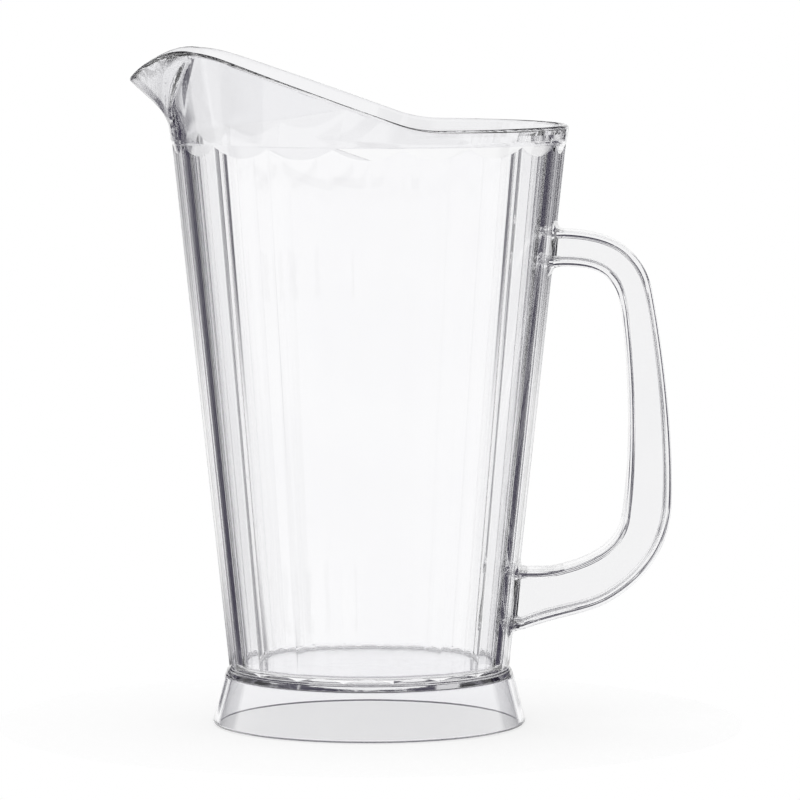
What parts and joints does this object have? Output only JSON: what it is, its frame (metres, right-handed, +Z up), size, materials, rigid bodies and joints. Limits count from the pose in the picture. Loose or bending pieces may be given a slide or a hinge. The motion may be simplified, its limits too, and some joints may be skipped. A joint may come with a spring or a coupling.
{
  "type": "beer pitcher",
  "caption": "Clear plastic pitcher with a panelled tapered vessel, a sloping pouring collar with a beak, a flared hollow foot and a D-shaped I-beam handle, for serving drinks.",
  "frame": {"origin": "on the vessel's axis, in the plane that the foot stands on", "axes": "+Z up along the vessel's axis, +X towards the handle, -X towards the pouring spout, +Y across the vessel"},
  "size_m": [0.1873, 0.1398, 0.2341],
  "materials": {
    "clear_plastic": "clear moulded plastic, polished, with a faint violet cast"
  },
  "bodies": {
    "root": {"panelled_wall": "clear_plastic", "spout_collar": "clear_plastic", "floor_plate": "clear_plastic", "foot_skirt": "clear_plastic", "handle_grip": "clear_plastic", "upper_handle_saddle": "clear_plastic", "lower_handle_saddle": "clear_plastic"}
  },
  "joints": []
}
